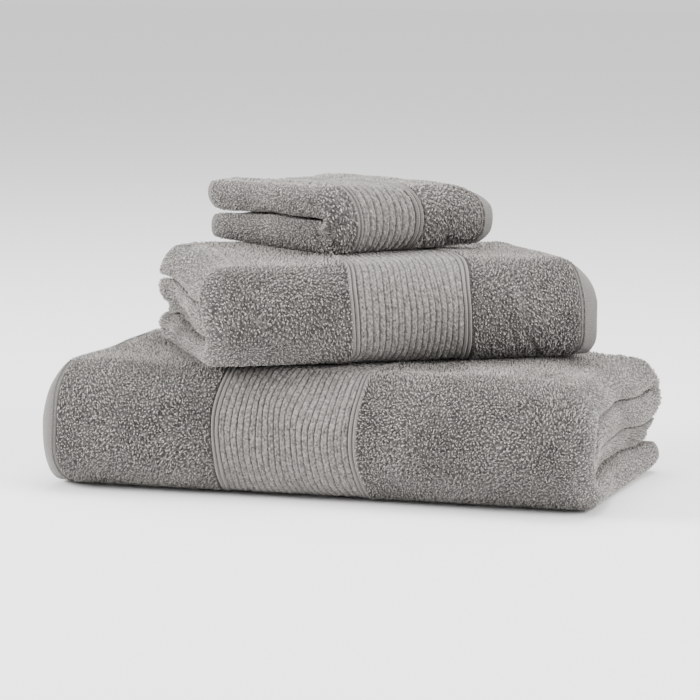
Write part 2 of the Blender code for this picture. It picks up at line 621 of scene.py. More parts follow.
    def _fold_lobes(self, a: np.ndarray, y: np.ndarray, z: np.ndarray, offset: np.ndarray) -> tuple:
        """Shapes the end with the crosswise folds.

        Args:
            a: Distance from the hem end.
            y: Depth.
            z: Height.
            offset: Height in the slab from its middle.

        Returns:
            The distance and the height. The slabs' heights are shared out as `lobes` says, and behind
            the front roll their round noses are pushed out to one half ellipse over the lowest slab and
            one over the rest. A crease keeps the share of its depth that `creases` gives.
        """
        rise = np.clip(z / self.height, 0, 1)
        near = smooth_step(a, self.length - 0.10, self.length - 0.02)
        sagged = np.interp(rise, np.linspace(0, 1, len(self.slabs) + 1), self.lobes)
        beyond = np.clip(a - self.nose_turn, 0, None)
        small = beyond - np.hypot(beyond, offset)
        split = self.lobes[1]
        share = np.where(sagged < split, sagged / split, (sagged - split) / (1 - split))
        deep = np.where(sagged < split, self.half, self.nose_depth)
        behind = smooth_step(y, -self.depth / 2 + 0.4 * self.slab, -self.depth / 2 + 1.8 * self.slab)
        big = deep * (np.sqrt(np.clip(4 * share * (1 - share), 0, 1)) - 1) - self.tuck
        big = np.where(share < 0.5, np.maximum(big, -self.half), big)
        kept = np.zeros_like(rise)
        for crease, left in zip(self.lobes[2:-1], self.creases):
            kept = np.maximum(kept, left * np.exp(-(((sagged - crease) / 0.05) ** 2)))
        tip = behind * smooth_step(a, self.length - 0.030, self.length - 0.012)
        return a + tip * (big - small) * (1 - kept), z + near * (sagged - rise) * self.height

    def _round_hem_end(self, a: np.ndarray, y: np.ndarray, z: np.ndarray) -> tuple:
        """Rounds the end with the hem.

        Args:
            a: Distance from the hem end.
            y: Depth.
            z: Height.

        Returns:
            All three. The square corner between the end and the top goes to a rounder one: each of
            the two shares u and v is multiplied by the root of 1 minus `hem_soft` times the other's
            square. The front corner does the same with `hem_front`.
        """
        end = np.clip(1 - a / self.hem_round, 0, 1)
        middle = 0.5 * self.height
        edge = 0.25 * self.depth
        up = np.clip((z - middle) / (self.height - middle), 0, 1)
        ahead = np.clip((-y - edge) / edge, 0, 1)
        low = np.clip(1 - z / 0.02, 0, 1)
        soft = (1 - self.hem_soft * up ** 2) * (1 - self.hem_front * ahead ** 2) * (1 - low ** 2 / 5)
        back = end * np.sqrt(soft)
        z = z - (z - middle) * (1 - np.sqrt(1 - self.hem_soft * end ** 2)) * smooth_step(up, 0.0, 0.4)
        y = y - (y + edge) * (1 - np.sqrt(1 - self.hem_front * end ** 2)) * smooth_step(ahead, 0.0, 0.4)
        return a + (end - back) * self.hem_round, y, z


# ---------------------------------------------------------------- meshes


def grid_quads(rows: int, columns: int) -> np.ndarray:
    """Corner numbers of every cell of a grid.

    Args:
        rows: Rows of points.
        columns: Columns of points.

    Returns:
        Array (n, 4), for points numbered row by row.
    """
    index = np.arange(rows * columns).reshape(rows, columns)
    cells = np.stack([index[:-1, :-1], index[1:, :-1], index[1:, 1:], index[:-1, 1:]], axis=-1)
    return cells.reshape(-1, 4)


def quad_mesh(name: str, points: np.ndarray, quads: np.ndarray, uv: np.ndarray) -> bpy.types.Object:
    """A smooth-shaded object.

    Args:
        name: Name of the object.
        points: Array (n, 3).
        quads: Array (m, 4) of corner numbers.
        uv: Array (n, 2), in metres of cloth.

    Returns:
        The object, linked to the scene, with a UV map named cloth.
    """
    mesh = bpy.data.meshes.new(name)
    mesh.vertices.add(len(points))
    mesh.vertices.foreach_set("co", points.astype(np.float32).ravel())
    mesh.loops.add(quads.size)
    mesh.loops.foreach_set("vertex_index", quads.astype(np.int32).ravel())
    mesh.polygons.add(len(quads))
    mesh.polygons.foreach_set("loop_start", np.arange(0, quads.size, 4, dtype=np.int32))
    mesh.polygons.foreach_set("use_smooth", np.ones(len(quads), dtype=bool))
    layer = mesh.uv_layers.new(name="cloth")
    layer.data.foreach_set("uv", uv[quads.ravel()].astype(np.float32).ravel())
    mesh.update(calc_edges=True)
    made = bpy.data.objects.new(name, mesh)
    bpy.context.scene.collection.objects.link(made)
    return made


def tube_quads(count: int, rings: int, sides: int) -> np.ndarray:
    """Corner numbers of the walls of many tubes.

    Args:
        count: How many tubes.
        rings: Rings of points in each.
        sides: Points in a ring.

    Returns:
        Array (n, 4), for points numbered round each ring, then ring by ring, then tube by tube.
    """
    ring, step = np.meshgrid(np.arange(rings - 1), np.arange(sides), indexing="ij")
    following = (step + 1) % sides
    low, high = ring * sides, (ring + 1) * sides
    corners = np.stack([low + step, low + following, high + following, high + step], axis=-1)
    first = np.arange(count)[:, None, None] * rings * sides
    return (first + corners.reshape(-1, 4)).reshape(-1, 4)


def stations(*spans: tuple[float, float, float]) -> np.ndarray:
    """Positions from spans (begin, end, step) that follow one another."""
    parts = [np.linspace(a, b, max(2, round((b - a) / step) + 1))[:-1] for a, b, step in spans]
    return np.concatenate(parts + [np.array([spans[-1][1]])])


@dataclass(frozen=True)
class LoopStyle:
    """The terry loops: their spacing, height, width and yarn, in metres, and how far they lean."""

    pitch: float = 0.0016
    height: float = 0.0021
    reach: float = 0.0009
    yarn: float = 0.00027
    lean: float = 0.0009
    stray: float = 0.45
    rings: int = 4
    sides: int = 3


# ---------------------------------------------------------------- finishes


class Nodes:
    """Short calls for building one material's nodes."""

    def __init__(self, name: str) -> None:
        """Starts a material with a plain Principled surface.

        Args:
            name: Its name.
        """
        self.material = bpy.data.materials.new(name)
        self.material.use_nodes = True
        self.tree = self.material.node_tree
        self.shader = self.tree.nodes["Principled BSDF"]

    def add(self, kind: str, settings: dict | None = None, **inputs: object) -> bpy.types.Node:
        """Adds a node.

        Args:
            kind: Blender's name of the node type.
            settings: Attributes of the node.
            **inputs: Values or output sockets, by the input's name, or by its number as in0, in1.

        Returns:
            The node.
        """
        node = self.tree.nodes.new(kind)
        for key, value in (settings or {}).items():
            setattr(node, key, value)
        for key, value in inputs.items():
            self.feed(node.inputs[int(key[2:]) if key[2:].isdigit() else key], value)
        return node

    def feed(self, socket: Socket, value: object) -> None:
        """Fills an input.

        Args:
            socket: The input.
            value: An output socket to link to it, or its value.
        """
        if isinstance(value, Socket):
            self.tree.links.new(value, socket)
        else:
            socket.default_value = value

    def coordinates(self, kind: str) -> Socket:
        """The Object or the UV coordinates."""
        return self.add("ShaderNodeTexCoord").outputs[kind]

    def loft(self) -> Socket:
        """How far the surface stands out of the weave, 0 to 1, as its mesh stores it; the finishes paint
        shade where it is low.
        """
        return self.add("ShaderNodeAttribute", {"attribute_name": "loft"}).outputs["Fac"]

    def maths(self, operation: str, first: object, *others: object) -> Socket:
        """Joins values with one operation.

        Args:
            operation: Blender's name of it.
            first: The first value or socket.
            *others: The rest, each joined to the result so far.

        Returns:
            The result.
        """
        for other in others:
            first = self.add("ShaderNodeMath", {"operation": operation}, in0=first, in1=other).outputs[0]
        return first

    def ramp(self, value: object, low: float, high: float, to_low: float, to_high: float) -> Socket:
        """A smooth change from one range to another.

        Args:
            value: The value or socket.
            low: Where the change begins.
            high: Where it ends.
            to_low: The result below it.
            to_high: The result above it.

        Returns:
            The result.
        """
        return self.add("ShaderNodeMapRange", {"interpolation_type": "SMOOTHSTEP"}, in0=value, in1=low,
                        in2=high, in3=to_low, in4=to_high).outputs[0]

    def noise(self, place: Socket, scale: float, detail: float = 2.0, roughness: float = 0.5) -> Socket:
        """Noise at a place, with its scale, detail and roughness."""
        return self.add("ShaderNodeTexNoise", Vector=place, Scale=scale, Detail=detail,
                        Roughness=roughness).outputs["Fac"]

    def threads(self, way: str, scale: float, bend: float) -> Socket:
        """Waves in the cloth's own coordinates, with their direction, scale and distortion."""
        return self.add("ShaderNodeTexWave", {"bands_direction": way}, Vector=self.coordinates("UV"),
                        Scale=scale, Distortion=bend, Detail=1.0).outputs[0]

    def patchy(self, place: Socket, scale: float) -> Socket:
        """Wide soft patches, where the pile's brushing makes it lighter or darker."""
        return self.ramp(self.noise(place, scale, 3.0, 0.55), 0.3, 0.7, 0.92, 1.08)

    def finish(self, cloth: "Cloth", shade: object, height: object, depth: float) -> bpy.types.Material:
        """Connects the surface.

        Args:
            cloth: Gives the colour, the roughness and the sheen.
            shade: Varies the colour over the surface.
            height: Height of the weave.
            depth: What its height of 1 is, in metres.

        Returns:
            The material.
        """
        colour = self.add("ShaderNodeVectorMath", {"operation": "SCALE"}, in0=cloth.colour, Scale=shade)
        bump = self.add("ShaderNodeBump", Height=height, Strength=1.0, Distance=depth)
        values = {"Base Color": colour.outputs[0], "Normal": bump.outputs[0], "Roughness": cloth.roughness,
                  "Specular IOR Level": 0.2, "Sheen Weight": cloth.sheen, "Sheen Roughness": 0.6,
                  "Sheen Tint": (*cloth.tint, 1.0)}
        for name, value in values.items():
            self.feed(self.shader.inputs[name], value)
        return self.material


@dataclass(frozen=True)
class Cloth:
    """What every finish of the towels shares."""

    slot: str
    colour: tuple[float, float, float]
    roughness: float = 1.0
    sheen: float = 0.25
    tint: tuple[float, float, float] = (1.0, 0.97, 0.94)

    def material(self) -> bpy.types.Material:
        """The finish's material."""
        raise NotImplementedError


@dataclass(frozen=True)
class TerryPile(Cloth):
    """Cotton loops: painted highlight on the tips over painted shade in the gaps, and lighter in soft patches
    of brushing.
    """

    loop: float = 0.0017
    gap_shade: float = 0.3

    def material(self) -> bpy.types.Material:
        """Curled cells for the loops, two finer noises for the yarn, and wide soft patches.

        Returns:
            The material.
        """
        nodes = Nodes(self.slot)
        place = nodes.coordinates("Object")
        bend = nodes.noise(place, 0.7 / self.loop).node.outputs["Color"]
        moved = nodes.add("ShaderNodeVectorMath", {"operation": "MULTIPLY_ADD"}, in0=bend,
                          in1=(self.loop * 1.6,) * 3, in2=place).outputs[0]
        cells = nodes.add("ShaderNodeTexVoronoi", {"feature": "F1"}, Vector=moved, Scale=1 / self.loop)
        dome = nodes.ramp(cells.outputs["Distance"], 0.05, 0.75, 1.0, 0.0)
        yarn = nodes.noise(moved, 2.2 / self.loop, 3.0, 0.6)
        fuzz = nodes.noise(place, 5.0 / self.loop, 2.0, 0.6)
        height = nodes.maths("ADD", nodes.maths("MULTIPLY", dome, 0.6), nodes.maths("MULTIPLY", yarn, 0.55),
                             nodes.maths("MULTIPLY", fuzz, 0.18))
        # Painted shade in the low cells, down to gap_shade, and where the loft is low; painted highlight up
        # to 1.3 on the high cells.
        shade = nodes.maths("MULTIPLY", nodes.ramp(height, 0.3, 0.8, self.gap_shade, 1.3),
                            nodes.ramp(nodes.loft(), 0.0, 1.0, 0.4, 1.1), nodes.patchy(place, 28.0))
        return nodes.finish(self, shade, height, 0.0022)


@dataclass(frozen=True)
class LoopYarn(Cloth):
    """The yarn of the loops, with painted light at the tips and painted shade towards the roots, and fine
    hairs.
    """

    def material(self) -> bpy.types.Material:
        """Fine noise for the hairs, specks, wide patches, and shade down the loop.

        Returns:
            The material.
        """
        nodes = Nodes(f"{self.slot}_yarn")
        place = nodes.coordinates("Object")
        hairs = nodes.noise(place, 2600.0, 2.0, 0.6)
        speck = nodes.noise(place, 850.0, 1.0)
        # Painted shade and light: the loft ramp darkens each loop towards its root and lightens it towards
        # its tip.
        shade = nodes.maths("MULTIPLY", nodes.ramp(nodes.loft(), 0.15, 1.1, 0.24, 1.85),
                            nodes.patchy(place, 30.0), nodes.ramp(speck, 0.3, 0.7, 0.62, 1.42))
        return nodes.finish(self, shade, hairs, 0.0002)


@dataclass(frozen=True)
class RibbedBand(Cloth):
    """Chunky dobby ribs: yarn twist on the stitches, painted shade between the ribs."""

    def material(self) -> bpy.types.Material:
        """Slanted fine waves for the twist, noise for the yarn, and shade from the stitches' own height.

        Returns:
            The material.
        """
        nodes = Nodes(self.slot)
        place = nodes.coordinates("Object")
        twist = nodes.threads("DIAGONAL", 260.0, 2.0)
        yarn = nodes.noise(place, 1300.0, 3.0, 0.6)
        speck = nodes.noise(place, 620.0, 1.0)
        height = nodes.maths("ADD", nodes.maths("MULTIPLY", twist, 0.35), nodes.maths("MULTIPLY", yarn, 0.8))
        # Painted shade: the loft ramp darkens the grooves between the ribs and between the stitches.
        shade = nodes.maths("MULTIPLY", nodes.ramp(nodes.loft(), 0.05, 0.85, 0.36, 1.25),
                            nodes.ramp(yarn, 0.3, 0.7, 0.72, 1.22), nodes.ramp(speck, 0.3, 0.7, 0.62, 1.3))
        return nodes.finish(self, shade, height, 0.0006)


@dataclass(frozen=True)
class FlatWeave(Cloth):
    """Plain weave of the hems and cords: crossed threads, a little slub, and painted shade in the low parts.
    """

    thread: float = 0.0007

    def material(self) -> bpy.types.Material:
        """Two crossed waves in the cloth's own coordinates, with noise along the yarn.

        Returns:
            The material.
        """
        nodes = Nodes(self.slot)
        threads = [nodes.threads(way, 0.31 / self.thread, 1.2) for way in "XY"]
        yarn = nodes.noise(nodes.coordinates("Object"), 900.0, 3.0, 0.6)
        height = nodes.maths("ADD", nodes.maths("MULTIPLY", *threads), nodes.maths("MULTIPLY", yarn, 0.7))
        # Painted shade: the loft ramp darkens the grooves between the cords, and the hem's seam, outer edge
        # and step down to the pile.
        shade = nodes.maths("MULTIPLY", nodes.ramp(height, 0.2, 1.1, 0.8, 1.08),
                            nodes.ramp(nodes.loft(), 0.0, 0.8, 0.3, 1.1))
        return nodes.finish(self, shade, height, 0.0003)


class Finishes:
    """The set's materials, made once: one grey, lighter or darker on each weave, and darker on the pile's
    ground as painted shade under the loops.
    """

    def __init__(self) -> None:
        """Makes the finishes of the four slots that the record names, with a second one for the loops."""
        # The pile's ground lies under the loops, so its grey is darker than the yarn's as painted shade.
        self.pile = TerryPile("terry_pile", self.grey(0.62))
        self.band = RibbedBand("dobby_band", self.grey(0.77))
        self.cord = FlatWeave("band_cord", self.grey(0.89))
        self.hem = FlatWeave("hem_weave", self.grey(0.64))
        self.yarn = LoopYarn("terry_pile", self.grey(1.1))
        cloths = (self.pile, self.yarn, self.band, self.cord, self.hem)
        self.made = {cloth: cloth.material() for cloth in cloths}

    @staticmethod
    def grey(share: float) -> tuple[float, float, float]:
        """The set's warm grey, multiplied by a share."""
        return tuple(part * share for part in (0.200, 0.188, 0.177))

    def dress(self, piece: bpy.types.Object, cloth: Cloth, body: str) -> bpy.types.Object:
        """Gives a piece its finish and its body.

        Args:
            piece: The piece.
            cloth: Its finish.
            body: The body that it rides on.

        Returns:
            The piece.
        """
        piece.data.materials.append(self.made[cloth])
        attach(piece, body)
        return piece


# ---------------------------------------------------------------- the towels


@dataclass
class Towel:
    """One towel of the set: its folded cloth and everything that its weave puts on it.

    Attributes:
        fold: How it is folded.
        finishes: The set's finishes.
        rests_on: Names of the cloths that it lies on; not used.
        ribs: How many ribs its band has.
        stitch: Pitch of the band's stitches across the cloth.
        style: Its terry loops.
    """

    fold: Fold
    finishes: Finishes
    rests_on: list[str]
    ribs: int
    stitch: float = 0.0021
    style: LoopStyle = LoopStyle()

    @property
    def surface(self) -> float:
        """Height of the cloth's face over its middle."""
        return self.fold.ply / 2 - FACE_INSET

    def widths(self, step: float) -> np.ndarray:
        """Positions across the cloth over the outer wrap.

        Args:
            step: Their spacing where the wrap shows.

        Returns:
            The positions, coarse where it is hidden.
        """
        fold = self.fold
        if fold.from_below:
            near = fold.first_bend - ROUND_CORNER
            return stations((SELVAGE_WIDTH, near, COARSE), (near, fold.outer_end, step))
        far = fold.first_bend_end + ROUND_CORNER
        if fold.rolled:
            back = fold.second_bend - 0.02
            return stations((SELVAGE_WIDTH, far, step), (far, back, COARSE), (back, fold.outer_end, step))
        return stations((SELVAGE_WIDTH, far, step), (far, fold.outer_end, COARSE))

    def lengths(self, inset: float = 0.0) -> np.ndarray:
        """Positions along the cloth, close together round its crosswise folds and at its ends.

        Args:
            inset: How far inside the end hems they begin and end.

        Returns:
            The positions.
        """
        path = self.fold.along
        edge = stations((inset, inset + 0.003, 0.0008))
        between = path.spread(inset + 0.003, path.length - inset - 0.003, 0.010)
        return np.concatenate([edge[:-1], between, path.length - edge[-2::-1]])

    def piece(self, label: str, points: np.ndarray, quads: np.ndarray, flat: list[np.ndarray],
              loft: np.ndarray | float, cloth: Cloth) -> bpy.types.Object:
        """One dressed piece of the towel.

        Args:
            label: What it is, for its name.
            points: Array (..., 3) of its points.
            quads: Array (n, 4) of corner numbers, which face out where s, w and h are right-handed.
            flat: The points' s and w, for the UV map.
            loft: How far each point stands out of the weave, 0 to 1, which its finish turns into painted
                shade where it is low.
            cloth: Its finish.

        Returns:
            The object.
        """
        name = f"{self.fold.name}_{label}"
        uv = np.stack(np.broadcast_arrays(*flat), axis=-1).reshape(-1, 2)
        made = quad_mesh(name, points.reshape(-1, 3), quads if self.fold.outward else quads[:, ::-1], uv)
        values = np.broadcast_to(loft, points.shape[:-1]).astype(np.float32)
        made.data.attributes.new("loft", "FLOAT", "POINT").data.foreach_set("value", values.ravel())
        log.info("%s: %d triangles", name, 2 * len(quads))
        return self.finishes.dress(made, cloth, self.fold.name)

    def skin(self, label: str, s: np.ndarray, w: np.ndarray, height: HeightField, cloth: Cloth,
             spread: tuple[float, float]) -> bpy.types.Object:
        """A surface that lies on the cloth.

        Args:
            label: What it is, for its name.
            s: Row positions along the cloth.
            w: Column positions across the cloth.
            height: Gives the height over the cloth's middle.
            cloth: Its finish.
            spread: Heights that count as the bottom and the top of the weave.

        Returns:
            The object: a grid whose border is repeated lower down, so that its edges turn into the cloth.
        """
        grid_s, grid_w = np.meshgrid(s, w, indexing="ij")
        heights = height(grid_s, grid_w)
        # Painted shade: low points get a low loft, and the skirt round the border gets none, so its finish
        # paints them darker.
        loft = np.pad(np.clip((heights - spread[0]) / (spread[1] - spread[0]), 0, 1), 1)
        heights = np.pad(heights, 1, constant_values=self.surface - SKIRT_FLOOR)
        grid_s, grid_w = (np.pad(grid, 1, mode="edge") for grid in (grid_s, grid_w))
        points = self.fold.place(grid_s, grid_w, heights)
        return self.piece(label, points, grid_quads(*grid_s.shape), [grid_s, grid_w], loft, cloth)

    def sheet(self, label: str, s: np.ndarray, w: np.ndarray, thickness: float, cloth: Cloth,
              loft: float = 1.0, thin_ends: float = 1.0) -> bpy.types.Object:
        """A closed length of cloth with round edges.

        Args:
            label: What it is, for its name.
            s: Row positions along the cloth.
            w: Column positions across the cloth.
            thickness: Its thickness away from the edges.
            cloth: Its finish.
            loft: Its loft all over.
            thin_ends: Share of the thickness that is left inside the end hems.

        Returns:
            The object: an upper and a lower grid that meet in the middle all round.
        """
        fold = self.fold
        grid_s, grid_w = np.meshgrid(s, w, indexing="ij")
        edge_s = np.minimum(grid_s - s[0], s[-1] - grid_s)
        edge_w = np.minimum(grid_w - w[0], w[-1] - grid_w)
        inside = np.clip(np.minimum(edge_s, edge_w) / (thickness / 2), 0, 1)
        lift = thickness / 2 * np.sqrt(1 - (1 - inside) ** 2)
        from_end = np.minimum(grid_s, fold.along.length - grid_s)
        lift *= thin_ends + (1 - thin_ends) * smooth_step(from_end, fold.hem, fold.hem + 0.006)
        upper = fold.place(grid_s, grid_w, lift * fold.bared(grid_s)).reshape(-1, 3)
        lower = fold.place(grid_s, grid_w, -lift).reshape(-1, 3)
        middle = np.zeros(grid_s.shape, dtype=bool)
        middle[1:-1, 1:-1] = True
        below = np.arange(grid_s.size).reshape(grid_s.shape)
        below[middle] = grid_s.size + np.arange(middle.sum())
        quads = grid_quads(*grid_s.shape)
        quads = np.concatenate([quads, below.ravel()[quads][:, ::-1]])
        points = np.concatenate([upper, lower[middle.ravel()]])
        flat = [np.concatenate([grid.ravel(), grid[middle]]) for grid in (grid_s, grid_w)]
        return self.piece(label, points, quads, flat, loft, cloth)

    def loop_patch(self, label: str, s: np.ndarray, w: np.ndarray, seed: int) -> bpy.types.Object:
        """A patch of terry loops as real yarn.

        Args:
            label: What it is, for its name.
            s: Position of each loop along the cloth.
            w: Position of each loop across the cloth.
            seed: Chooses their directions.

        Returns:
            The object. Each loop is a three-sided tube along a half circle whose direction turns on the
            way, so that it curls. It leans with a slow noise over the cloth, which brushes it in patches,
            and stands taller beside the band, where nothing presses on it.
        """
        fold, style = self.fold, self.style
        rng = np.random.default_rng(seed)
        count = len(s)
        t = np.linspace(0, 1, style.rings)[None, :, None]
        side = np.arange(style.sides)[None, None, :] * 2 * math.pi / style.sides
        size = rng.uniform(0.75, 1.2, (count, 1, 1))
        angle = rng.uniform(0, 2 * math.pi, (count, 1, 1)) + rng.uniform(-1.6, 1.6, (count, 1, 1)) * (t - 0.5)
        arch = np.sin(math.pi * t)
        gap = np.minimum(np.abs(s - fold.band_start), np.abs(s - fold.pile_start))
        edge = np.exp(-gap / 0.0025)[:, None, None]
        away = np.sign(s - fold.band_middle)[:, None, None]
        lean_s = (value_noise(s, w, 0.022, seed) + rng.normal(0, 0.5, count))[:, None, None]
        lean_s = lean_s - 0.9 * edge * away
        lean_w = (value_noise(s, w, 0.022, seed + 1) + rng.normal(0, 0.5, count))[:, None, None]
        along = style.reach * size * (t - 0.5) - style.yarn * np.sin(side) * np.cos(math.pi * t)
        beside = style.yarn * np.cos(side)
        cos, sin, lean = np.cos(angle), np.sin(angle), style.lean
        grid_s = s[:, None, None] + cos * along - sin * beside + lean * lean_s * arch
        grid_w = w[:, None, None] + sin * along + cos * beside + lean * lean_w * arch
        # On the fold end the loops lie flatter, and painted light makes them paler there.
        nose_brushed_and_lit = smooth_step(s, fold.nose_turn - 0.012, fold.nose_turn)[:, None, None]
        tall = (1 + 0.6 * edge) * (1 - 0.35 * nose_brushed_and_lit)
        root = self.surface - LOOP_FLOOR
        grid_h = root + style.height * size * tall * arch + style.yarn * np.sin(side) * arch
        points = fold.place(*np.broadcast_arrays(grid_s, grid_w, grid_h))
        # A random tone for each loop, times painted shade towards its root and painted light on the fold end.
        tone_and_painted_light = rng.uniform(0.7, 1.15, (count, 1, 1)) * (0.2 + 0.8 * arch) * (1 + 0.15 * nose_brushed_and_lit)
        quads = tube_quads(count, style.rings, style.sides)
        return self.piece(label, points, quads, [grid_s, grid_w], tone_and_painted_light, self.finishes.yarn)

    def loops(self, label: str, s: tuple[float, float], w: tuple[float, float]) -> list[bpy.types.Object]:
        """Terry loops over a zone, in patches that stay light.

        Args:
            label: What they are on, for their names.
            s: The zone's ends along the cloth.
            w: The zone's ends across the cloth.

        Returns:
            The objects.
        """
        pitch, stray = self.style.pitch, self.style.stray
        rows = np.arange(s[0] + pitch / 2, s[1] - pitch / 3, pitch)
        columns = np.arange(w[0] + pitch / 2, w[1], pitch)
        grid_w, grid_s = (grid.ravel() for grid in np.meshgrid(columns, rows, indexing="ij"))
        rng = np.random.default_rng(self.fold.seed * 31 + len(label))
        grid_s = grid_s + rng.uniform(-stray, stray, grid_s.shape) * pitch
        grid_w = grid_w + rng.uniform(-stray, stray, grid_w.shape) * pitch
        parts = np.array_split(np.arange(len(grid_s)), math.ceil(len(grid_s) / MOST_LOOPS))
        seed = self.fold.seed * 100
        return [self.loop_patch(f"{label}_loops_{i + 1}", grid_s[part], grid_w[part], seed + i)
                for i, part in enumerate(parts)]

    def all_loops(self) -> list[bpy.types.Object]:
        """Terry loops wherever the outer pile or a crosswise fold shows.

        Returns:
            The objects.
        """
        fold = self.fold
        seen_to = fold.wrapped - LOOPS_SHORT
        nose = (fold.nose_turn - 0.003, seen_to)
        if fold.from_below:
            near = fold.first_bend - LOOPS_ROUND_CORNER
            shown, hidden = [(near, fold.outer_end)], (SELVAGE_WIDTH, near)
        else:
            far = fold.first_bend_end + LOOPS_ROUND_CORNER
            back = fold.second_bend - 0.006 if fold.rolled else fold.outer_end
            shown, hidden = [(SELVAGE_WIDTH, far)], (far, back)
            if fold.rolled:
                shown.append((back, fold.outer_end))
        fields = {"end_field": (fold.hem, fold.band_start), "main_field": (fold.pile_start, seen_to)}
        made = []
        for label, s in fields.items():
            for side, w in zip(("outer", "back"), shown):
                made += self.loops(f"{label}_{side}", s, w)
        made += self.loops("lower_fold", nose, hidden)
        if fold.rolled:
            made += self.loops("inner_fold", nose, (fold.outer_end, fold.across.length - SELVAGE_WIDTH))
        return made

    def stitches(self, w: np.ndarray) -> bpy.types.Object:
        """The stitches along the end hem's seam.

        Args:
            w: Middle of each stitch across the cloth.

        Returns:
            The object. Each stitch is a four-sided thread along a low arch whose two ends dive into the hem.
        """
        rings, sides = 6, 4
        t = np.linspace(-1, 1, rings)[None, :, None]
        side = np.arange(sides)[None, None, :] * 2 * math.pi / sides
        grid_w = w[:, None, None] + STITCH_LENGTH / 2 * t + 0 * side
        grid_s = self.fold.hem - STITCH_INSET + THREAD * np.cos(side) + 0 * grid_w
        grid_h = self.surface - 0.0001 + THREAD * (1.6 * (1 - t ** 4) - 0.8 + np.sin(side)) + 0 * grid_w
        points = self.fold.place(grid_s, grid_w, grid_h)
        quads = tube_quads(len(w), rings, sides)[:, ::-1]
        return self.piece("end_hem_stitches", points, quads, [grid_s, grid_w], 0.9, self.finishes.cord)

    def pile_height(self, s: np.ndarray, w: np.ndarray) -> np.ndarray:
        """Height of the ground under the loops at (s, w), soft and uneven."""
        knots = dome_field(s / 0.0042, w / 0.0042, 0.8, 0.75, self.fold.seed * 5)
        return self.surface - PILE_FLOOR + PILE_SWELL * (knots - 0.55)

    def band_height(self, s: np.ndarray, w: np.ndarray) -> np.ndarray:
        """Height of the band.

        Args:
            s: Distance along the cloth.
            w: Distance across the cloth.

        Returns:
            Ribs with a groove between them, each of two columns of round stitches, every other column
            half a stitch on and a little uneven.
        """
        along = (s - self.fold.band_start - CORD_WIDTH) / self.fold.band * self.ribs
        column = np.floor(2 * along)
        wander = value_noise(np.floor(along) * 7.3, w, 0.02, self.fold.seed + 3) * 0.3
        stitches = dome_field(2 * along, w / self.stitch + 0.5 * np.mod(column, 2) + wander, 0.3, 0.66,
                              self.fold.seed)
        rib = 0.2 + 0.8 * np.abs(np.sin(math.pi * along)) ** 0.6
        return self.surface - BAND_FLOOR + (0.0003 + BAND_RISE * stitches) * rib

    def cord_height(self, s: np.ndarray, w: np.ndarray) -> np.ndarray:
        """Height of the cords beside the band.

        Args:
            s: Distance along the cloth.
            w: Distance across the cloth.

        Returns:
            Two round cords side by side, with a slight twist along them.
        """
        fold = self.fold
        start = np.where(s < fold.band_middle, fold.band_start, fold.pile_start - CORD_WIDTH)
        across = np.abs(np.sin(2 * math.pi * (s - start) / CORD_WIDTH))
        twist = 0.00012 * np.sin(w * 2600 + s * 2200)
        return self.surface - CORD_FLOOR + CORD_RISE * across ** 0.7 + twist * across

    def hem_height(self, s: np.ndarray, w: np.ndarray) -> np.ndarray:
        """Height of the end hem.

        Args:
            s: Distance along the cloth.
            w: Distance across the cloth.

        Returns:
            Flat, thin at its outer edge, dented along its seam and lower where the pile begins.
        """
        hem = self.fold.hem
        edge = HEM_EDGE * (1 - np.sqrt(1 - (1 - np.clip(s / HEM_EDGE, 0, 1)) ** 2))
        seam = 0.0007 * np.exp(-(((s - hem + 0.0022) / 0.0007) ** 2))
        step = 0.0012 * smooth_step(s, hem - 0.0009, hem)
        soft = value_noise(s, w, 0.01, self.fold.seed + 9) * 0.00025
        return self.surface - HEM_FLOOR - edge - seam - step + soft

    def build(self) -> list[bpy.types.Object]:
        """Makes every piece of the towel.

        Returns:
            The cloth, then the pieces that ride on it.
        """
        fold, finishes, top = self.fold, self.finishes, self.surface
        fine, medium = self.widths(PILE_GRAIN), self.widths(0.0012)
        band = (fold.band_start + CORD_WIDTH, fold.pile_start - CORD_WIDTH)
        zones = (
            ("end_field_pile", ((fold.hem, fold.band_start, PILE_GRAIN),), fine,
             self.pile_height, finishes.pile, (LOOP_FLOOR, -0.0006)),
            ("main_field_pile", ((fold.pile_start, fold.wrapped, PILE_GRAIN),), fine,
             self.pile_height, finishes.pile, (LOOP_FLOOR, -0.0006)),
            ("ribbed_band", ((*band, 0.0005),), self.widths(0.0007),
             self.band_height, finishes.band, (BAND_FLOOR, 0.0004)),
            ("band_cords_hem_side", ((fold.band_start, band[0], 0.00026),), medium,
             self.cord_height, finishes.cord, (CORD_FLOOR, 0.0003)),
            ("band_cords_pile_side", ((band[1], band[1] + CORD_WIDTH, 0.00026),), medium,
             self.cord_height, finishes.cord, (CORD_FLOOR, 0.0003)),
            ("end_hem", ((0.0, HEM_EDGE, 0.0003), (HEM_EDGE, fold.hem, 0.0006)), medium,
             self.hem_height, finishes.hem, (0.0018, -HEM_FLOOR)),
        )
        pieces = [self.skin(label, stations(*spans), w, height, cloth, (top - floor, top + rise))
                  for label, spans, w, height, cloth, (floor, rise) in zones]
        pieces.append(self.stitches(np.arange(SELVAGE_WIDTH, float(fine[-1]), STITCH_PITCH)))
        pieces += self.all_loops()
        pieces += self.inner_pieces()
        cloth = self.cloth()
        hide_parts(*[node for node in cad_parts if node.startswith(fold.name)])
        return [cloth, *pieces]

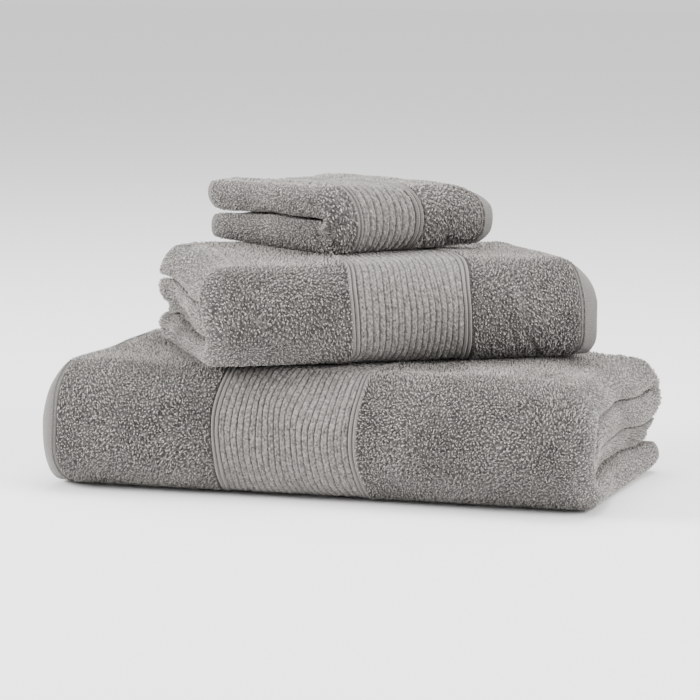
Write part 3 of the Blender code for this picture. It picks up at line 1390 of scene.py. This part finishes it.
    def inner_pieces(self) -> list[bpy.types.Object]:
        """The pile round the crosswise fold of the inner slabs, and the hems at the other edges.

        Returns:
            The objects.
        """
        fold, top = self.fold, self.surface
        total, length = fold.across.length, fold.along.length
        pieces = []
        if fold.rolled:
            s = stations((fold.nose_turn - 0.02, fold.nose_end + 0.02, PILE_GRAIN))
            w = stations((fold.outer_end, total - SELVAGE_WIDTH, 0.0016))
            pieces.append(self.skin("inner_fold_pile", s, w, self.pile_height, self.finishes.pile,
                                    (top - LOOP_FLOOR, top - 0.0006)))
        across = stations((0.0, total, COARSE))
        parts = (
            ("second_end_hem", stations((length - fold.hem, length, 0.0006)), across),
            ("first_end_hem", stations((0.0, fold.hem, 0.0006)), across),
            ("first_selvage_hem", self.lengths(), stations((0.0, SELVAGE_WIDTH, 0.0006))),
            ("second_selvage_hem", self.lengths(), stations((total - SELVAGE_WIDTH, total, 0.0006))),
        )
        pieces += [self.sheet(label, s, w, fold.ply * 0.78, self.finishes.hem) for label, s, w in parts]
        return pieces

    def cloth(self) -> bpy.types.Object:
        """The whole length of terry as one closed sheet, folded.

        Returns:
            The object, with its edges inside the hems.
        """
        fold = self.fold
        begin, end = SELVAGE_WIDTH * 0.8, fold.across.length - SELVAGE_WIDTH * 0.8
        edge = stations((0.0, 0.003, 0.0008))
        between = fold.across.spread(begin + 0.003, end - 0.003, 0.010)
        w = np.concatenate([begin + edge[:-1], between, end - edge[-2::-1]])
        s = self.lengths(0.4 * fold.hem)
        return self.sheet("cloth", s, w, fold.ply * 0.8, self.finishes.pile, 0.7, thin_ends=0.55)


# ---------------------------------------------------------------- the set and its room


def set_origin() -> tuple[float, float]:
    """Finds the middle of the bath towel from its own nodes.

    Returns:
        Its x and y.
    """
    boxes = np.array([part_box(node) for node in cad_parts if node.startswith("bath_towel")])
    low, high = boxes[:, 0].min(axis=0), boxes[:, 1].max(axis=0)
    return float(low[0] + high[0]) / 2, float(low[1]) + BATH_DEPTH / 2


def base_of(towel: str) -> float:
    """Height of a towel's underside."""
    return min(float(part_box(node)[0][2]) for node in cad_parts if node.startswith(towel))


def add_camera(origin: tuple[float, float]) -> None:
    """The camera, in front of the set and to its right, looking slightly down.

    Args:
        origin: Middle of the bath towel.
    """
    data = bpy.data.cameras.new("camera")
    data.lens = FOCAL_LENGTH
    data.sensor_width = 36.0
    camera = bpy.data.objects.new("camera", data)
    camera.location = (origin[0] + CAMERA_PLACE[0], origin[1] + CAMERA_PLACE[1], CAMERA_PLACE[2])
    camera.rotation_euler = (math.pi / 2 - CAMERA_DIP, 0.0, CAMERA_TURN)
    bpy.context.scene.collection.objects.link(camera)
    bpy.context.scene.camera = camera


def add_softbox(name: str, place: tuple, size: tuple, power: float) -> None:
    """A rectangular area light that faces the middle of the set.

    Args:
        name: Its name.
        place: Where it hangs.
        size: Its two sides.
        power: Its power in watts.
    """
    data = bpy.data.lights.new(name, "AREA")
    data.shape = "RECTANGLE"
    data.size, data.size_y = size
    data.energy = power
    lamp = bpy.data.objects.new(name, data)
    lamp.location = place
    aim = np.array([0.0, 0.0, 0.08]) - np.array(place)
    heading = math.atan2(aim[1], aim[0])
    dip = math.atan2(-aim[2], math.hypot(aim[0], aim[1]))
    lamp.rotation_euler = (math.pi / 2 - dip, 0.0, heading - math.pi / 2)
    bpy.context.scene.collection.objects.link(lamp)


def add_room() -> None:
    """A white floor, a pale world and soft boxes above and at both sides."""
    corners = np.array([[x, y, -0.0004] for x, y in ((-9.0, -9.0), (9.0, -9.0), (9.0, 9.0), (-9.0, 9.0))])
    floor = quad_mesh("floor", corners, np.array([[0, 1, 2, 3]]), corners[:, :2])
    nodes = Nodes("floor_white")
    nodes.shader.inputs["Base Color"].default_value = (0.97, 0.97, 0.97, 1.0)
    nodes.shader.inputs["Roughness"].default_value = 0.9
    floor.data.materials.append(nodes.material)
    world = bpy.data.worlds.new("studio")
    world.use_nodes = True
    world.node_tree.nodes["Background"].inputs["Color"].default_value = (1.0, 1.0, 1.0, 1.0)
    world.node_tree.nodes["Background"].inputs["Strength"].default_value = 1.1
    bpy.context.scene.world = world
    add_softbox("softbox_top", (0.1, 0.2, 1.9), (1.6, 1.2), 50.0)
    add_softbox("softbox_left", (-1.8, -0.9, 1.0), (1.1, 0.9), 92.0)
    add_softbox("softbox_right", (1.8, -0.6, 0.9), (1.2, 1.0), 56.0)


def towel_folds(origin: tuple[float, float]) -> list[Fold]:
    """How the three towels are folded, from the bottom.

    Args:
        origin: Middle of the bath towel.

    Returns:
        The bath, the hand and the guest towel.
    """
    bath = Fold(
        "bath_towel", flat=(0.70, 1.40), length=0.360, depth=BATH_DEPTH, layer=0.00505, slabs=(0, 3, 2, 1),
        hem=0.016, end_field=0.1005, band=0.0873, fold_side=FoldSide.RIGHT,
        origin=(origin[0] - 0.0043, origin[1] + 0.0033, base_of("bath_towel")),
        lobes=(0.0, 0.26, 0.47, 0.71, 1.0), creases=(0.0, 0.4), nose_depth=0.0192, nose_reach=-0.0024,
        nose_rise=-0.0038, hem_round=0.0139, hem_soft=0.592, hem_front=0.395, back_droop=0.0,
        dents=(Crease(0.341, 0.234, -135, 0.0075, 0.0018), Crease(0.322, 0.273, -105, 0.01, 0.0018),
               Crease(0.266, 0.180, -75, 0.006, 0.0022), Crease(0.235, 0.184, -75, 0.0055, 0.0022)), seed=3)
    hand = Fold(
        "hand_towel", flat=(0.50, 1.00), length=0.256, depth=0.178, layer=0.00535, slabs=(2, 0, 1),
        hem=0.015, end_field=0.0685, band=0.0701, fold_side=FoldSide.LEFT,
        origin=(origin[0] - 0.0010, origin[1] + 0.0320, base_of("hand_towel")), turn=math.radians(32.2),
        lobes=(0.0, 0.265, 0.66, 1.0), creases=(0.25,), nose_depth=0.0233, nose_reach=0.0003,
        nose_rise=0.0007, hem_round=0.0245, hem_soft=0.517, hem_front=0.168, back_droop=0.0,
        corner_droop=0.006,
        dents=(Crease(0.035, 0.159, 35, 0.01, 0.0026), Crease(0.053, 0.171, 100, 0.008, 0.0030),
               Crease(0.045, 0.191, 140, 0.011, 0.0030), Crease(0.030, 0.175, -175, 0.005, 0.0022),
               Crease(0.213, 0.179, 150, 0.009, 0.0028), Crease(0.224, 0.172, 160, 0.006, 0.0024),
               Crease(0.059, 0.185, 125, 0.006, 0.0024)), seed=5)
    guest = Fold(
        "guest_towel", flat=(0.30, 0.50), length=0.131, depth=0.156, layer=0.00535, slabs=(1, 0),
        hem=0.013, end_field=0.0505, band=0.0375, fold_side=FoldSide.LEFT,
        origin=(origin[0] - 0.0322, origin[1] + 0.0749, base_of("guest_towel")), turn=math.radians(54.4),
        lobes=(0.0, 0.47, 1.0), nose_depth=0.0125, nose_reach=0.0037, nose_rise=0.0017,
        hem_round=0.0327, hem_soft=0.524, hem_front=0.199, back_droop=0.0024,
        dents=(Crease(0.136, 0.134, 90, 0.011, 0.0040), Crease(0.132, 0.147, 110, 0.006, 0.0050),
               Crease(0.131, 0.162, -135, 0.007, 0.0042), Crease(0.126, 0.153, -15, 0.0065, 0.0042),
               Crease(0.126, 0.147, 30, 0.006, 0.0044), Crease(0.135, 0.159, -110, 0.007, 0.0042),
               Crease(0.039, 0.154, 165, 0.009, 0.0026), Crease(0.023, 0.156, -165, 0.006, 0.0022)), seed=8)
    return [bath, hand, guest]


def main() -> None:
    """Builds the towels, the floor, the lights and the camera."""
    logging.basicConfig(level=logging.INFO, format="%(message)s")
    origin = set_origin()
    add_camera(origin)
    add_room()
    finishes = Finishes()
    below: list[str] = []
    for fold, ribs in zip(towel_folds(origin), (21, 17, 8)):
        pieces = Towel(fold, finishes, below, ribs=ribs).build()
        below = [pieces[0].name]


if __name__ == "__main__":
    main()
